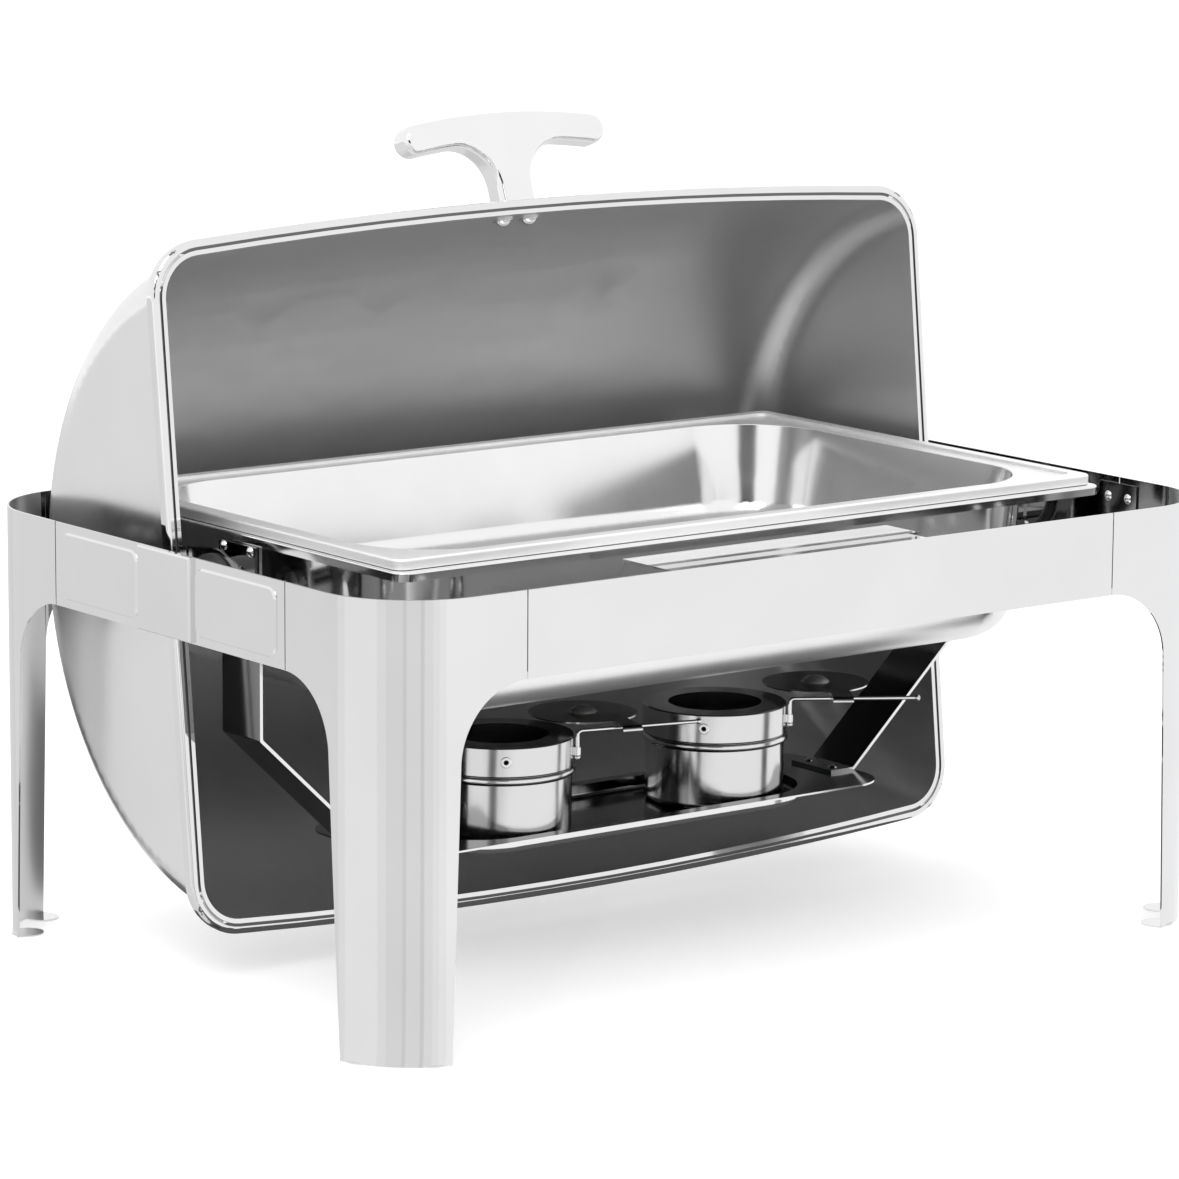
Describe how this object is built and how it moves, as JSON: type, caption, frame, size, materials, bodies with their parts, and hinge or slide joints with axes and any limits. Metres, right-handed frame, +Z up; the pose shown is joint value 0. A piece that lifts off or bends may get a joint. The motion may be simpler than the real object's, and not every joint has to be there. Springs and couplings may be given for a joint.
{
  "type": "chafing_dish_food_warmer",
  "caption": "Roll-top chafing dish: polished frame on splayed legs, barrel lid rolled back on side pivots, food pan over a water pan, fuel burners on a hung tray",
  "frame": {"origin": "on the table under the middle of the frame", "axes": "+X along the long side towards the right seen from the front, -Y towards the front, +Z up"},
  "size_m": [0.646, 0.444, 0.5014],
  "materials": {
    "polished_steel": "mirror-polished stainless steel sheet",
    "strap_steel": "bright rolled stainless steel strap",
    "pan_steel": "satin stainless steel, bright rim",
    "burner_steel": "polished spun stainless steel",
    "fastener_steel": "bright stainless steel",
    "handle_cast": "polished casting",
    "bush_nylon": "moulded nylon"
  },
  "bodies": {
    "frame": {"back_panel": "polished_steel", "burner_tray": "strap_steel", "front_panel": "polished_steel", "hanger_left": "strap_steel", "hanger_right": "strap_steel", "hub_flange_left": "strap_steel", "hub_flange_right": "strap_steel", "hub_screws": "fastener_steel", "leg_back_left": "polished_steel", "leg_back_right": "polished_steel", "leg_front_left": "polished_steel", "leg_front_right": "polished_steel", "lid_rest": "polished_steel", "lid_rest_rivets": "fastener_steel", "pivot_cover_left": "polished_steel", "pivot_cover_right": "polished_steel", "pivot_hub_left": "polished_steel", "pivot_hub_right": "polished_steel", "pivot_nuts": "fastener_steel", "pivot_stud_left": "fastener_steel", "pivot_stud_right": "fastener_steel", "pivot_washers": "fastener_steel", "side_panel_left": "polished_steel", "side_panel_right": "polished_steel", "splice_plates": "polished_steel", "splice_rivets": "fastener_steel", "tray_rivets": "fastener_steel"},
    "burner_left": {"burner_cap_left": "burner_steel", "burner_cup_left": "burner_steel", "burner_eyelet_left": "fastener_steel", "snuffer_eye_left": "fastener_steel"},
    "burner_right": {"burner_cap_right": "burner_steel", "burner_cup_right": "burner_steel", "burner_eyelet_right": "fastener_steel", "snuffer_eye_right": "fastener_steel"},
    "food_pan": {"food_pan": "pan_steel"},
    "lid": {"ear_rivets": "fastener_steel", "handle_screws": "fastener_steel", "handle_washers": "fastener_steel", "lid_bush_left": "bush_nylon", "lid_bush_right": "bush_nylon", "lid_ear_left": "strap_steel", "lid_ear_right": "strap_steel", "lid_handle": "handle_cast", "lid_shell": "polished_steel"},
    "snuffer_left": {"snuffer_disc_left": "burner_steel", "snuffer_knob_left": "fastener_steel", "snuffer_rod_left": "fastener_steel"},
    "snuffer_right": {"snuffer_disc_right": "burner_steel", "snuffer_knob_right": "fastener_steel", "snuffer_rod_right": "fastener_steel"},
    "water_pan": {"water_pan": "pan_steel"}
  },
  "joints": [
    {"name": "lid_roll", "type": "hinge", "parent": "frame", "child": "lid", "pos_m": [0, 0, 0.2384], "axis": [1, 0, 0], "range_deg": [-59, 96.1]},
    {"name": "water_pan_lift", "type": "slide", "parent": "frame", "child": "water_pan", "axis": [0, 0, 1], "range_m": [0, 0.02]},
    {"name": "food_pan_lift", "type": "slide", "parent": "water_pan", "child": "food_pan", "axis": [0, 0, 1], "range_m": [0, 0.03]},
    {"name": "burner_left_lift", "type": "slide", "parent": "frame", "child": "burner_left", "axis": [0, 0, 1], "range_m": [0, 0.015]},
    {"name": "snuffer_left_swing", "type": "hinge", "parent": "burner_left", "child": "snuffer_left", "pos_m": [-0.04427, -0.03373, 0.133], "axis": [0, 0, 1], "range_deg": [-40, 107]},
    {"name": "burner_right_lift", "type": "slide", "parent": "frame", "child": "burner_right", "axis": [0, 0, 1], "range_m": [0, 0.015]},
    {"name": "snuffer_right_swing", "type": "hinge", "parent": "burner_right", "child": "snuffer_right", "pos_m": [0.12373, -0.03373, 0.133], "axis": [0, 0, 1], "range_deg": [-40, 107]}
  ]
}
